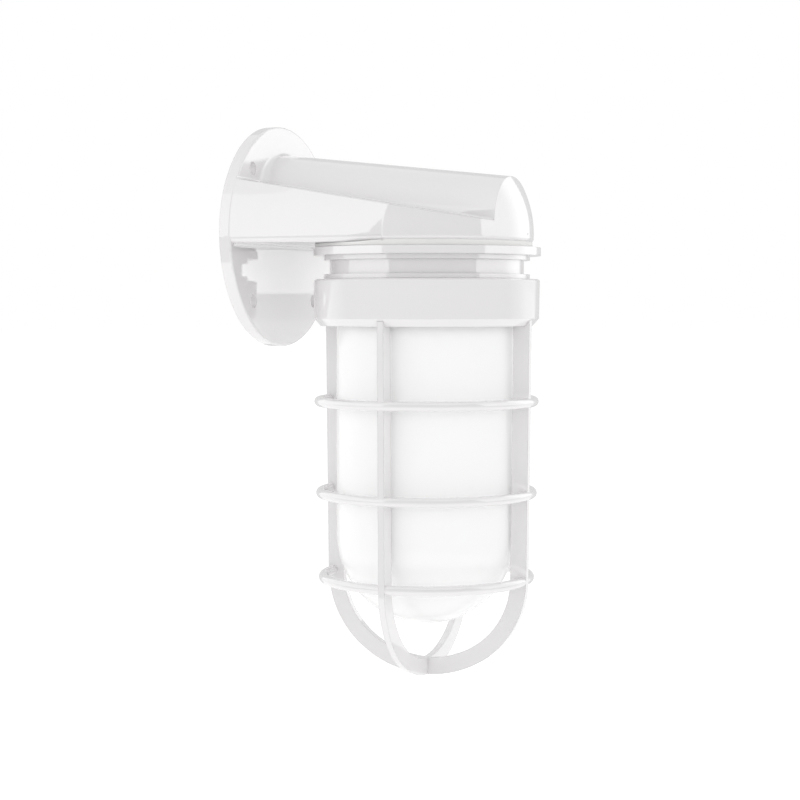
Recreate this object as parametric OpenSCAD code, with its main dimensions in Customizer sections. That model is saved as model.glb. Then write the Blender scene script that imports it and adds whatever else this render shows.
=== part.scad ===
// Vapour-tight wall light: a round wall plate cast in one with a streamlined arm, a stepped cap
// below the arm's nose, a white glass jar screwed into the cap, and a cast guard of four ribs
// and three rings around the jar. All sizes are millimetres. The origin is the centre of the
// wall plate's back face, the light points along -Y, and +Z is up.

/* [Wall plate] */
// Radius of the round wall plate
plate_r = 63.5; // [62:0.5:66]
// Thickness of the wall plate
plate_t = 7; // [6:0.5:9]
// Rounding of the wall plate's front edge
plate_round = 1.2; // [0.6:0.1:2]
// Distance of each mounting hole from the plate's centre
hole_ring_r = 52.8; // [52:0.2:54]
// Radius of the four mounting holes
hole_r = 3.75; // [2.5:0.25:4]

/* [Arm] */
// Distance from the wall to the lamp's upright centre line
reach = 97.5; // [95:0.5:105]
// Radius of the arm's round nose
nose_r = 60.2; // [59.5:0.1:61]
// Draft angle of the arm's sides
arm_draft = 2; // [1.4:0.1:2]
// Wall thickness of the arm casting
arm_wall = 4; // [3:0.5:5]
// Height of the arm's flat underside
arm_floor_z = -5.3; // [-6:0.1:-4.8]
// Height of the sloping shelf where its plane meets the wall
shelf_z = 31.7; // [29:0.1:32]
// Downward slope of the shelf
shelf_slope = 9.76; // [9:0.1:10.4]
// Radius of the raised round ridge
ridge_r = 29.7; // [28:0.1:31]
// Height of the ridge's centre line at the wall
ridge_z = 18.4; // [17:0.1:19.5]
// Downward slope of the ridge
ridge_slope = 6.5; // [6:0.1:7]
// Rounding along the arm's bottom edge
arm_round = 3.2; // [2:0.1:4]

/* [Cap] */
// Thickness of the gasket between arm and cap
arm_gasket_t = 2.2; // [1.5:0.1:3]
// Radius of the gasket between arm and cap
arm_gasket_r = 58.7; // [57.5:0.1:59.5]
// Radius of the cap's top flange
flange_r = 64.2; // [63:0.1:65]
// Thickness of the cap's top flange
flange_t = 4.5; // [4:0.1:5.5]
// Radius of the two steps above and below the neck
step_r = 58.1; // [57.9:0.1:59]
// Height of each step
step_h = 2.6; // [2:0.1:3.2]
// Radius of the cap's neck
neck_r = 54.7; // [53:0.1:56]
// Height of the neck between the steps
neck_h = 7.8; // [7:0.1:9]
// Length of the skirt that carries the guard
skirt_h = 20.8; // [19:0.2:21]
// Distance of each cap screw from the lamp's centre line
cap_screw_ring_r = 30.5; // [30:0.1:31]

/* [Jar] */
// Outside radius of the glass jar
jar_r = 50.8; // [49.5:0.1:51]
// Wall thickness of the glass jar
jar_wall = 3.2; // [2.5:0.1:4]
// Outside radius of the jar's screw neck
jar_neck_r = 41.3; // [40.6:0.1:42]
// Height of the centre of the jar's round bottom
jar_ball_z = -168.6; // [-172:0.2:-162]
// Rounding of the jar's shoulder
jar_shoulder = 8; // [6:0.5:9]

/* [Guard] */
// Outside radius of the guard's collar
collar_r = 63.7; // [63:0.1:65]
// Wall thickness of the guard's collar
collar_wall = 5.9; // [5.5:0.1:6.3]
// Height of the guard's collar
collar_h = 26; // [25.4:0.1:27]
// Height of the chamfer under the collar
collar_chamfer = 4.1; // [3:0.1:5]
// Outside radius of the ribs just below the collar
rib_top_r = 62.5; // [62:0.1:62.8]
// Outside radius of the ribs where they turn in
rib_low_r = 61; // [60.2:0.1:61.4]
// Thickness of each rib
rib_t = 3.7; // [3:0.1:5]
// Depth of each rib toward the jar
rib_depth = 9.4; // [8:0.1:9.6]
// Height where the ribs turn in toward the bottom
rib_turn_z = -192; // [-195:0.1:-190]
// How much larger the radius of the wide bottom arc is than that of the corner arcs
bottom_wider = 10; // [8:0.5:12]
// Radius of each ring's round bar
ring_bar_r = 2.75; // [2.3:0.05:3.2]
// Outside radius of the upper ring, which passes over the ribs
ring_1_r = 63.3; // [63:0.1:63.8]
// Outside radius of the middle ring, which passes over the ribs
ring_2_r = 62.4; // [62.2:0.1:63]
// Height of the upper ring
ring_1_z = -93.6; // [-97:0.1:-90]
// Height of the middle ring
ring_2_z = -145.2; // [-149:0.1:-141]
// Height of the lower ring
ring_3_z = -193; // [-196:0.1:-190]

/* [Lampholder and bulb] */
// Outside radius of the lampholder's body
holder_r = 17.6; // [16.5:0.1:19]
// Length of the lampholder's body below its flange
holder_h = 24; // [22:0.5:26]
// Radius of the bulb's round part
bulb_r = 30; // [27:0.5:34]
// Length of the bulb from its contact to its end
bulb_len = 108; // [100:1:120]
// Outside radius of the bulb's screw base
bulb_base_r = 13; // [12.9:0.05:13.1]

/* [Show] */
// Part to show, or all of them

/* [Hidden] */

$fn = 96;
// Overrun of a cutter past the face that it opens
over = 1;
// Size of a block that stands for a half space
big = 400;

// Clearance between a moving piece and the round face beside it
slip = 0.3;
// Gap between flat faces of two moving pieces
seat_gap = 0.1;
// Radial clearance of a screw in its hole
screw_gap = 0.08;

enamel = [0.93, 0.93, 0.92];
opal = [0.97, 0.97, 0.96];
rubber = [0.86, 0.86, 0.84];
steel = [0.72, 0.72, 0.73];
brass = [0.78, 0.62, 0.3];
porcelain = [0.94, 0.93, 0.9];
black_wire = [0.1, 0.1, 0.1];
white_wire = [0.9, 0.9, 0.88];
green = [0.15, 0.45, 0.2];

// Radius of the arm where it leaves the wall
arm_back_r = nose_r + reach * tan(arm_draft);
floor_in_z = arm_floor_z + arm_wall;
// The arm's round body is a little narrower at the height of its flat underside
side_rounder_in = arm_back_r - sqrt(arm_back_r * arm_back_r - arm_floor_z * arm_floor_z);
wire_hole_r = 20;
plate_opening_r = 54;

// Wall gasket: a square ring in a groove of the plate's back
wall_gasket_in_r = 57.4;
wall_gasket_out_r = 61.2;
wall_gasket_t = 1.6;

// Heights of the cap, from the top down
cap_top_z = arm_floor_z - arm_gasket_t;
flange_low_z = cap_top_z - flange_t;
step_1_low_z = flange_low_z - step_h;
neck_low_z = step_1_low_z - neck_h;
step_2_low_z = neck_low_z - step_h;
skirt_low_z = step_2_low_z - skirt_h;
skirt_r = collar_r - collar_wall - slip;
jar_skirt_gap = 1.7;
skirt_in_r = jar_r + jar_skirt_gap;
// Recess above the jar's rim, for the screw heads and the lampholder's flange
recess_r = cap_screw_ring_r + 4.8;
recess_h = 1.5;
jar_gasket_t = 2;
jar_seat_z = flange_low_z - recess_h;
jar_thread_gap = 0.5;
jar_bore_r = jar_neck_r + jar_thread_gap;
jar_bore_h = 20.4;
jar_bore_low_z = jar_seat_z - jar_bore_h;
holder_hole_r = 12;

// Jar heights
jar_rim_z = jar_seat_z - jar_gasket_t - 2 * seat_gap;
jar_shoulder_drop = 4;
jar_shoulder_z = jar_bore_low_z - jar_shoulder_drop;

// Cap screws
screw_r = 2.05;
screw_head_r = 3.8;
screw_head_h = 2.6;
screw_slot_w = 1.2;
screw_slot_h = 1.2;
screw_count = 4;
boss_r = 5;
boss_h = 7;
// The screws end a little below the tops of the bosses
screw_top_z = floor_in_z + boss_h - 2;

// Guard collar
collar_top_z = step_2_low_z - seat_gap;
collar_low_z = collar_top_z - collar_h;
collar_bore_r = skirt_r + slip;
collar_lip_gap = 1;
collar_lip_z = skirt_low_z - collar_lip_gap;
collar_foot_in = 4;
collar_foot_r = collar_r - collar_foot_in;
collar_draft = 0.4;
collar_round = 0.8;
rib_in_top_r = rib_top_r - rib_depth;
rib_in_low_r = rib_low_r - rib_depth;
// Room around the jar inside the collar's lip
collar_lip_gap_r = 3.9;
collar_lip_r = jar_r + collar_lip_gap_r;
// The ribs start a little under the collar's inner lip
rib_start_z = min(collar_low_z + collar_chamfer, collar_lip_z) - 0.2;
// Direction, as a 3-4-5 triangle, in which each corner arc passes smoothly into the bottom arc
turn_cos = 0.6;
turn_sin = 0.8;
corner_x = turn_cos * bottom_wider;
corner_r = rib_low_r - corner_x;
bottom_r = corner_r + bottom_wider;
bottom_z = rib_turn_z + turn_sin * bottom_wider;

// Set screws
set_screw_r = 3.1;
set_screw_z = (collar_top_z + collar_lip_z) / 2;
set_screw_sink = 0.8;
set_screw_hex_r = 1.8;
set_screw_hex_h = 3;
// Angles of the two set screws, measured from +X toward +Y
set_screw_back_turn = 45;
set_screw_front_turn = -45;

// Lampholder
holder_flange_r = 25.2;
holder_flange_t = 4;
holder_flange_low_z = flange_low_z - holder_flange_t;
holder_low_z = holder_flange_low_z - holder_h;
holder_back_h = 2.3;
holder_top_z = arm_floor_z + holder_back_h;
holder_bore_r = 14.2;
holder_bore_drop = 1.4;
holder_bore_top_z = holder_flange_low_z - holder_bore_drop;
holder_screw_ring_r = 21.2;
holder_screw_r = 1.5;
holder_head_r = 2.8;
holder_head_h = 2;
holder_slot_w = 1;
holder_slot_h = 1;
shell_in_r = 13.4;
shell_t = 0.4;
shell_lift = 1.5;
shell_low_z = holder_low_z + shell_lift;
contact_r = 3.2;
contact_t = 1;
terminal_x = 6;
terminal_y = 4;
terminal_slot_w = 0.8;
terminal_slot_h = 0.7;
terminal_r = 2.6;
terminal_t = 1.6;

// Bulb, from its contact down
bulb_tip_gap = 0.4;
bulb_tip_z = holder_bore_top_z - contact_t - bulb_tip_gap;
bulb_tip_t = 0.8;
bulb_insulator_t = 2.4;
bulb_base_h = 20;
bulb_base_top_z = bulb_tip_z - bulb_tip_t - bulb_insulator_t;
bulb_base_low_z = bulb_base_top_z - bulb_base_h;
bulb_base_t = 0.5;
bulb_ball_z = bulb_tip_z - bulb_len + bulb_r;
bulb_neck_r = bulb_base_r - bulb_base_t;
bulb_glass_t = 1;
// Angle, above the bulb's widest level, where the ball passes into the slanting side
bulb_side_turn = 20;
bulb_neck_h = 4;
bulb_contact_r = 4.6;

// Leads
lead_r = 1.4;
copper_r = 0.7;
lead_bend_r = 8;
lead_end_y = -14;
copper_len = 9;
lead_run = reach - terminal_y - lead_bend_r + lead_end_y - copper_len;
ground_x = 22;
ground_y = -46;
ground_boss_h = 6;
ground_z = floor_in_z + ground_boss_h;
ground_screw_foot = 2;
ground_head_r = 3.8;
ground_head_h = 2.4;
ground_eye_r = 5;
ground_eye_t = 1;
// The lead starts between the screw's head and the rim of its eye
ground_lead_y = ground_y + ground_eye_r - 0.6;

// Moves its children to the lamp's upright centre line
module at_lamp() {
    translate([0, -reach, 0])
        children();
}

// Solid of revolution about the lamp's centre line, from a profile of radius and height
module lamp_turned() {
    at_lamp()
        rotate_extrude()
            children();
}

// Flat ring or disc about the lamp's centre line
module lamp_ring(out_r, in_r, top_z, low_z) {
    at_lamp()
        translate([0, 0, low_z])
            difference() {
                cylinder(r = out_r, h = top_z - low_z);
                translate([0, 0, -over])
                    cylinder(r = in_r, h = top_z - low_z + 2 * over);
            }
}

// Turns a shape whose own axis is +Z so that it points away from the wall, along -Y
module from_wall() {
    rotate([90, 0, 0])
        children();
}

// The arm's round-nosed body before its top and bottom are cut, shrunk by the given amount
module arm_bullet(inset) {
    from_wall()
        rotate_extrude() {
            polygon([[0, 0], [arm_back_r - inset, 0], [nose_r - inset, reach], [0, reach]]);
            translate([0, reach])
                intersection() {
                    circle(r = nose_r - inset);
                    square(big);
                }
        }
}

// Everything below the sloping shelf, lowered by the given amount
module below_shelf(inset) {
    translate([0, 0, shelf_z - inset / cos(shelf_slope)])
        rotate([shelf_slope, 0, 0])
            translate([-big / 2, -big / 2, -big])
                cube(big);
}

// The round ridge on top of the arm
module ridge(inset) {
    translate([0, 0, ridge_z])
        rotate([ridge_slope, 0, 0])
            from_wall()
                translate([0, 0, -big / 4])
                    cylinder(r = ridge_r - inset, h = big);
}

module arm_form(inset) {
    intersection() {
        arm_bullet(inset);
        union() {
            below_shelf(inset);
            ridge(inset);
        }
    }
}

// Cutter that rounds the bottom edge along one straight side of the arm
module side_rounder() {
    translate([-arm_back_r + side_rounder_in, 0, arm_floor_z])
        rotate([0, 0, arm_draft])
            from_wall()
                difference() {
                    translate([-over, -over, -over])
                        cube([arm_round + over, arm_round + over, reach + over]);
                    translate([arm_round, arm_round, -2 * over])
                        cylinder(r = arm_round, h = reach + 3 * over);
                }
}

// Cutter that rounds the bottom edge around the nose
module nose_rounder() {
    at_lamp()
        intersection() {
            rotate_extrude()
                difference() {
                    translate([nose_r - arm_round, arm_floor_z - over])
                        square([arm_round + over, arm_round + over]);
                    translate([nose_r - arm_round, arm_floor_z + arm_round])
                        circle(r = arm_round);
                }
            translate([-big / 2, -big, -big / 2])
                cube(big);
        }
}

module arm_casting() {
    color(enamel)
        difference() {
            union() {
                difference() {
                    arm_form(0);
                    translate([-big / 2, -big / 2, arm_floor_z - big])
                        cube(big);
                    side_rounder();
                    mirror([1, 0, 0])
                        side_rounder();
                    nose_rounder();
                }
                wall_plate();
            }
            arm_hollow();
            // Way down into the cap for the leads
            lamp_ring(wire_hole_r, 0, floor_in_z + over, arm_floor_z - over);
            cap_screw_places()
                translate([0, 0, arm_floor_z - over])
                    cylinder(r = screw_r + screw_gap, h = screw_top_z - arm_floor_z + 2 * over);
            mounting_holes();
            wall_gasket_groove();
            ground_place()
                cylinder(r = screw_r + screw_gap, h = ground_boss_h);
        }
}

module wall_plate() {
    from_wall()
        rotate_extrude() {
            square([plate_r, plate_t - plate_round]);
            square([plate_r - plate_round, plate_t]);
            translate([plate_r - plate_round, plate_t - plate_round])
                circle(r = plate_round);
        }
}

module mounting_holes() {
    from_wall()
        for (turn = [45:90:315])
            rotate(turn)
                translate([hole_ring_r, 0, -over])
                    cylinder(r = hole_r, h = plate_t + 2 * over);
}

module wall_gasket_groove() {
    from_wall()
        rotate_extrude()
            translate([wall_gasket_in_r, -over])
                square([wall_gasket_out_r - wall_gasket_in_r, wall_gasket_t + over]);
}

// Space inside the arm, open at the back and left with bosses for the screws
module arm_hollow() {
    difference() {
        intersection() {
            arm_form(arm_wall);
            translate([-big / 2, -big, floor_in_z])
                cube(big);
        }
        cap_screw_places()
            translate([0, 0, floor_in_z - over])
                cylinder(r = boss_r, h = boss_h + over);
        translate([ground_x, ground_y, floor_in_z - over])
            cylinder(r = boss_r, h = ground_boss_h + over);
        // The plate keeps a rim around its opening
        from_wall()
            difference() {
                cylinder(r = big / 2, h = plate_t);
                translate([0, 0, -over])
                    cylinder(r = plate_opening_r, h = plate_t + 2 * over);
            }
    }
    intersection() {
        arm_form(arm_wall);
        translate([-big / 2, -plate_t, floor_in_z])
            cube([big, plate_t, big]);
        from_wall()
            translate([0, 0, -over])
                cylinder(r = plate_opening_r, h = plate_t + 2 * over);
    }
}

module ground_place() {
    translate([ground_x, ground_y, floor_in_z + ground_screw_foot - over])
        children();
}

module cap_screw_places() {
    at_lamp()
        for (turn = [45:360 / screw_count:315])
            rotate(turn)
                translate([cap_screw_ring_r, 0, 0])
                    children();
}

module wall_gasket() {
    color(rubber)
        from_wall()
            rotate_extrude()
                translate([wall_gasket_in_r, 0])
                    square([wall_gasket_out_r - wall_gasket_in_r, wall_gasket_t]);
}

module arm_gasket() {
    color(rubber)
        difference() {
            lamp_ring(arm_gasket_r, wire_hole_r, arm_floor_z, cap_top_z);
            cap_screw_places()
                translate([0, 0, cap_top_z - over])
                    cylinder(r = screw_r + screw_gap, h = arm_gasket_t + 2 * over);
        }
}

module cap_casting() {
    color(enamel)
        difference() {
            lamp_turned()
                polygon([[0, cap_top_z], [flange_r, cap_top_z], [flange_r, flange_low_z],
                    [step_r, flange_low_z], [step_r, step_1_low_z], [neck_r, step_1_low_z],
                    [neck_r, neck_low_z], [step_r, neck_low_z], [step_r, step_2_low_z],
                    [skirt_r, step_2_low_z], [skirt_r, skirt_low_z],
                    [skirt_in_r, skirt_low_z], [skirt_in_r, jar_bore_low_z],
                    [jar_bore_r, jar_bore_low_z], [jar_bore_r, jar_seat_z],
                    [recess_r, jar_seat_z], [recess_r, flange_low_z], [0, flange_low_z]]);
            lamp_ring(holder_hole_r, 0, cap_top_z + over, flange_low_z - over);
            cap_screw_places()
                translate([0, 0, flange_low_z - over])
                    cylinder(r = screw_r + screw_gap, h = flange_t + 2 * over);
            holder_screw_places()
                translate([0, 0, flange_low_z - over])
                    cylinder(r = holder_screw_r + screw_gap, h = flange_t);
        }
}

module cap_screws() {
    color(steel)
        cap_screw_places() {
            translate([0, 0, flange_low_z])
                cylinder(r = screw_r, h = screw_top_z - flange_low_z);
            difference() {
                translate([0, 0, flange_low_z - screw_head_h])
                    cylinder(r = screw_head_r, h = screw_head_h);
                translate([-screw_head_r, -screw_slot_w / 2, flange_low_z - screw_head_h - over])
                    cube([2 * screw_head_r, screw_slot_w, screw_slot_h + over]);
            }
        }
}

module holder_screw_places() {
    at_lamp()
        for (side = [-1, 1])
            translate([0, side * holder_screw_ring_r, 0])
                children();
}

module lampholder() {
    color(porcelain)
        difference() {
            union() {
                lamp_ring(holder_flange_r, 0, flange_low_z, holder_flange_low_z);
                lamp_ring(holder_r, 0, flange_low_z, holder_low_z);
                lamp_ring(holder_hole_r - slip, 0, holder_top_z, flange_low_z - over);
            }
            lamp_ring(holder_bore_r, 0, holder_bore_top_z, holder_low_z - over);
            holder_screw_places()
                translate([0, 0, holder_flange_low_z - over])
                    cylinder(r = holder_screw_r + screw_gap, h = holder_flange_t + 2 * over);
        }
}

module lampholder_screws() {
    color(steel)
        holder_screw_places() {
            translate([0, 0, holder_flange_low_z])
                cylinder(r = holder_screw_r, h = holder_flange_t + flange_t - 2);
            difference() {
                translate([0, 0, holder_flange_low_z - holder_head_h])
                    cylinder(r = holder_head_r, h = holder_head_h);
                translate([-holder_head_r, -holder_slot_w / 2, holder_flange_low_z - holder_head_h - over])
                    cube([2 * holder_head_r, holder_slot_w, holder_slot_h + over]);
            }
        }
}

module screw_shell() {
    color(brass) {
        lamp_ring(shell_in_r + shell_t, shell_in_r, holder_bore_top_z, shell_low_z);
        lamp_ring(shell_in_r + shell_t / 2, 2 * contact_r, holder_bore_top_z, holder_bore_top_z - shell_t);
    }
}

module centre_contact() {
    color(brass)
        lamp_ring(contact_r, 0, holder_bore_top_z, holder_bore_top_z - contact_t);
}

module terminal(side) {
    at_lamp()
        difference() {
            translate([side * terminal_x, -terminal_y, holder_top_z])
                cylinder(r = terminal_r, h = terminal_t);
            translate([side * terminal_x - terminal_r, -terminal_y - terminal_slot_w / 2,
                holder_top_z + terminal_t - terminal_slot_h])
                cube([2 * terminal_r, terminal_slot_w, terminal_slot_h + over]);
        }
}

module line_terminal() {
    color(brass)
        terminal(-1);
}

module neutral_terminal() {
    color(steel)
        terminal(1);
}

// One lead: its bare end at the terminal, then up from the lampholder, a bend, and back
// toward the wall, where its other end is bare
module lead(side, tone) {
    translate([side * terminal_x, -reach + terminal_y, 0]) {
        color(tone) {
            translate([0, 0, holder_top_z])
                cylinder(r = lead_r, h = lead_bend_r);
            translate([0, lead_bend_r, holder_top_z + lead_bend_r])
                rotate([90, 0, -90])
                    rotate_extrude(angle = 90)
                        translate([lead_bend_r, 0])
                            circle(r = lead_r);
            translate([0, lead_bend_r, holder_top_z + 2 * lead_bend_r])
                rotate([-90, 0, 0])
                    cylinder(r = lead_r, h = lead_run);
        }
        color(brass) {
            translate([0, lead_bend_r + lead_run - over, holder_top_z + 2 * lead_bend_r])
                rotate([-90, 0, 0])
                    cylinder(r = copper_r, h = copper_len + over);
            translate([0, 0, holder_top_z + copper_r])
                rotate([90, 0, 0])
                    cylinder(r = copper_r, h = 2 * terminal_y - terminal_r);
        }
    }
}

module line_lead() {
    lead(-1, black_wire);
}

module neutral_lead() {
    lead(1, white_wire);
}

module ground_screw() {
    color(green) {
        translate([ground_x, ground_y, floor_in_z + ground_screw_foot])
            cylinder(r = screw_r, h = ground_z + ground_eye_t - floor_in_z - ground_screw_foot);
        difference() {
            translate([ground_x, ground_y, ground_z + ground_eye_t])
                cylinder(r = ground_head_r, h = ground_head_h);
            translate([ground_x - ground_head_r, ground_y - screw_slot_w / 2,
                ground_z + ground_eye_t + ground_head_h - screw_slot_h])
                cube([2 * ground_head_r, screw_slot_w, screw_slot_h + over]);
        }
    }
}

// Flat eye under the ground screw's head, with its lead toward the wall
module ground_lead() {
    color(green) {
        difference() {
            translate([ground_x, ground_y, ground_z])
                cylinder(r = ground_eye_r, h = ground_eye_t);
            translate([ground_x, ground_y, ground_z - over])
                cylinder(r = screw_r + screw_gap, h = ground_eye_t + 2 * over);
            translate([ground_x - ground_eye_r, ground_lead_y, ground_z - over])
                cube([2 * ground_eye_r, ground_eye_r, ground_eye_t + 2 * over]);
        }
        translate([ground_x, ground_lead_y, ground_z + lead_r])
            rotate([-90, 0, 0])
                cylinder(r = lead_r, h = lead_end_y - ground_lead_y);
    }
}

module jar_gasket() {
    color(rubber)
        lamp_ring(jar_neck_r - 0.2, recess_r + 0.4, jar_seat_z - seat_gap,
            jar_seat_z - seat_gap - jar_gasket_t);
}

// Half profile of the jar, shrunk by the given amount
module jar_half(inset) {
    body_r = jar_r - inset;
    round_r = jar_shoulder - inset;
    neck_top_z = jar_rim_z + (inset > 0 ? over : 0);
    intersection() {
        union() {
            translate([0, jar_ball_z])
                circle(r = body_r);
            translate([0, jar_ball_z])
                square([body_r, jar_shoulder_z - jar_shoulder - jar_ball_z]);
            translate([0, jar_ball_z])
                square([jar_r - jar_shoulder, jar_shoulder_z - inset - jar_ball_z]);
            translate([jar_r - jar_shoulder, jar_shoulder_z - jar_shoulder])
                circle(r = round_r);
            translate([0, jar_shoulder_z - jar_shoulder])
                square([jar_neck_r - inset, neck_top_z - jar_shoulder_z + jar_shoulder]);
        }
        translate([0, -big])
            square([big, 2 * big]);
    }
}

module glass_jar() {
    color(opal)
        lamp_turned()
            difference() {
                jar_half(0);
                jar_half(jar_wall);
            }
}

// Ring of the given radii, kept between two rays from its centre
module ring_sector(out_r, in_r, from_turn, to_turn) {
    intersection() {
        difference() {
            circle(r = out_r);
            circle(r = in_r);
        }
        polygon([[0, 0], [big * cos(from_turn), big * sin(from_turn)],
            [big * cos(to_turn), big * sin(to_turn)]]);
    }
}

// Outline that divides the bottom arc of a rib bow from its two corner arcs
module bottom_wedge() {
    polygon([[0, bottom_z], [big * turn_cos, bottom_z - big * turn_sin],
        [-big * turn_cos, bottom_z - big * turn_sin]]);
}

module rib_band(centre_x, centre_z, out_r) {
    translate([centre_x, centre_z])
        difference() {
            circle(r = out_r);
            circle(r = out_r - rib_depth);
        }
}

// Straight upper part of one rib, from the collar down to where the rib turns in
module rib_leg() {
    linear_extrude(rib_t)
        polygon([[rib_in_top_r, rib_start_z], [rib_top_r, rib_start_z],
            [rib_low_r, rib_turn_z], [rib_in_low_r, rib_turn_z]]);
}

// Bow of two ribs that meet under the jar: a leg and a corner arc on each side, and the
// wide bottom arc between them
module rib_bow() {
    rotate([90, 0, 0])
        translate([0, 0, -rib_t / 2]) {
            for (side = [0, 1])
                mirror([side, 0, 0]) {
                    rib_leg();
                    linear_extrude(rib_t)
                        difference() {
                            intersection() {
                                rib_band(corner_x, rib_turn_z, corner_r);
                                translate([0, rib_turn_z - big])
                                    square(big);
                            }
                            bottom_wedge();
                        }
                }
            linear_extrude(rib_t)
                intersection() {
                    rib_band(0, bottom_z, bottom_r);
                    bottom_wedge();
                }
        }
}

module collar_form() {
    rotate_extrude()
        polygon([[collar_bore_r, collar_top_z], [collar_r - collar_round, collar_top_z],
            [collar_r, collar_top_z - collar_round],
            [collar_r - collar_draft, collar_low_z + collar_chamfer], [collar_foot_r, collar_low_z],
                [collar_lip_r, collar_low_z], [collar_lip_r, collar_lip_z], [collar_bore_r, collar_lip_z]]);
}

module guard_collar() {
    color(enamel)
        at_lamp()
            difference() {
                collar_form();
                set_screw_hole(set_screw_back_turn);
                set_screw_hole(set_screw_front_turn);
            }
}

module set_screw_hole(turn) {
    rotate([0, 0, turn])
        translate([collar_bore_r - 2 * over, 0, set_screw_z])
            rotate([0, 90, 0])
                cylinder(r = set_screw_r + screw_gap, h = collar_wall + 4 * over);
}

module guard_ribs_front_back() {
    color(enamel)
        at_lamp()
            difference() {
                rotate(90)
                    rib_bow();
                collar_form();
            }
}

module guard_ribs_sides() {
    color(enamel)
        at_lamp()
            difference() {
                rib_bow();
                collar_form();
                translate([-rib_t / 2, -big / 2, -big])
                    cube([rib_t, big, big]);
            }
}

module ring_bar(z, out_r) {
    translate([0, 0, z])
        rotate_extrude()
            translate([out_r - ring_bar_r, 0])
                circle(r = ring_bar_r);
}

// Ring that stands out past the ribs and passes over their outer faces
module ring_over_ribs(z, out_r) {
    difference() {
        ring_bar(z, out_r);
        for (turn = [0:90:270])
            rotate(turn)
                rotate([90, 0, 0])
                    translate([0, 0, -rib_t / 2])
                        rib_leg();
    }
}

// Ring that ends at the sides of the ribs, flush with their outer faces
module ring_between_ribs(z, out_r) {
    difference() {
        ring_bar(z, out_r);
        for (turn = [0, 90])
            rotate(turn)
                translate([-rib_t / 2, -out_r - over, z - 2 * ring_bar_r])
                    cube([rib_t, 2 * (out_r + over), 4 * ring_bar_r]);
    }
}

module guard_rings() {
    color(enamel)
        at_lamp() {
            ring_over_ribs(ring_1_z, ring_1_r);
            ring_over_ribs(ring_2_z, ring_2_r);
            ring_between_ribs(ring_3_z, rib_low_r);
        }
}

module set_screw(turn) {
    out_x = collar_r - collar_draft - set_screw_sink;
    in_x = skirt_r + slip;
    color(steel)
        at_lamp()
            rotate([0, 0, turn])
                translate([0, 0, set_screw_z])
                    rotate([0, 90, 0])
                        difference() {
                            translate([0, 0, in_x])
                                cylinder(r = set_screw_r, h = out_x - in_x);
                            translate([0, 0, out_x - set_screw_hex_h])
                                cylinder(r = set_screw_hex_r, h = set_screw_hex_h + over, $fn = 6);
                        }
}

module set_screw_back() {
    set_screw(set_screw_back_turn);
}

module set_screw_front() {
    set_screw(set_screw_front_turn);
}

// The bulb's thin glass: ball, slanting side and a neck that goes a little way into the base
module bulb_glass() {
    neck_z = bulb_base_low_z - bulb_neck_h;
    neck_top_z = bulb_base_low_z + bulb_neck_h;
    neck_in_r = bulb_neck_r - bulb_glass_t;
    in_r = bulb_r - bulb_glass_t;
    color(opal) {
        lamp_turned()
            translate([0, bulb_ball_z])
                ring_sector(bulb_r, in_r, -90, bulb_side_turn);
        lamp_turned()
            polygon([[bulb_r * cos(bulb_side_turn), bulb_ball_z + bulb_r * sin(bulb_side_turn)],
                [in_r * cos(bulb_side_turn), bulb_ball_z + in_r * sin(bulb_side_turn)],
                [neck_in_r, neck_z], [neck_in_r, neck_top_z],
                [bulb_neck_r, neck_top_z], [bulb_neck_r, neck_z]]);
    }
}

module bulb_base() {
    color(steel)
        lamp_ring(bulb_base_r, bulb_neck_r, bulb_base_top_z, bulb_base_low_z);
}

module bulb_insulator() {
    color(black_wire)
        at_lamp()
            translate([0, 0, bulb_base_top_z])
                cylinder(r1 = bulb_neck_r, r2 = bulb_contact_r + 1, h = bulb_insulator_t);
}

module bulb_contact() {
    color(steel)
        lamp_ring(bulb_contact_r, 0, bulb_tip_z, bulb_tip_z - bulb_tip_t);
}

arm_casting();
wall_gasket();
arm_gasket();
cap_casting();
cap_screws();
lampholder();
lampholder_screws();
screw_shell();
centre_contact();
line_terminal();
neutral_terminal();
line_lead();
neutral_lead();
ground_screw();
ground_lead();
jar_gasket();
glass_jar();
guard_collar();
guard_ribs_front_back();
guard_ribs_sides();
guard_rings();
set_screw_back();
set_screw_front();
bulb_glass();
bulb_base();
bulb_insulator();
bulb_contact();
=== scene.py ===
import bpy, bmesh, math
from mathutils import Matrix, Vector


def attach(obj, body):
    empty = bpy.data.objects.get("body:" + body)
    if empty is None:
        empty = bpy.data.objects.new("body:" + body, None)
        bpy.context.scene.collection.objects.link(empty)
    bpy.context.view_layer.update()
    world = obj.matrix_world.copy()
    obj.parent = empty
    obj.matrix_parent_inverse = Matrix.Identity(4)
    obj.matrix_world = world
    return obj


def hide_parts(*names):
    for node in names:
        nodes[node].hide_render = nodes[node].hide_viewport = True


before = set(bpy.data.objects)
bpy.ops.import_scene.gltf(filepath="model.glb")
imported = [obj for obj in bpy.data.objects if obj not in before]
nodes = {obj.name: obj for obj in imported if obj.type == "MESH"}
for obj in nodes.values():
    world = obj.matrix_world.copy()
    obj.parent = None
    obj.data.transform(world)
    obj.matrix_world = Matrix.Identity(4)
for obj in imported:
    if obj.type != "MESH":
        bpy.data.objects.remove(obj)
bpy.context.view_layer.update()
scene = bpy.context.scene
mm = 0.001
print("model loaded,", len(nodes), "nodes")

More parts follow.
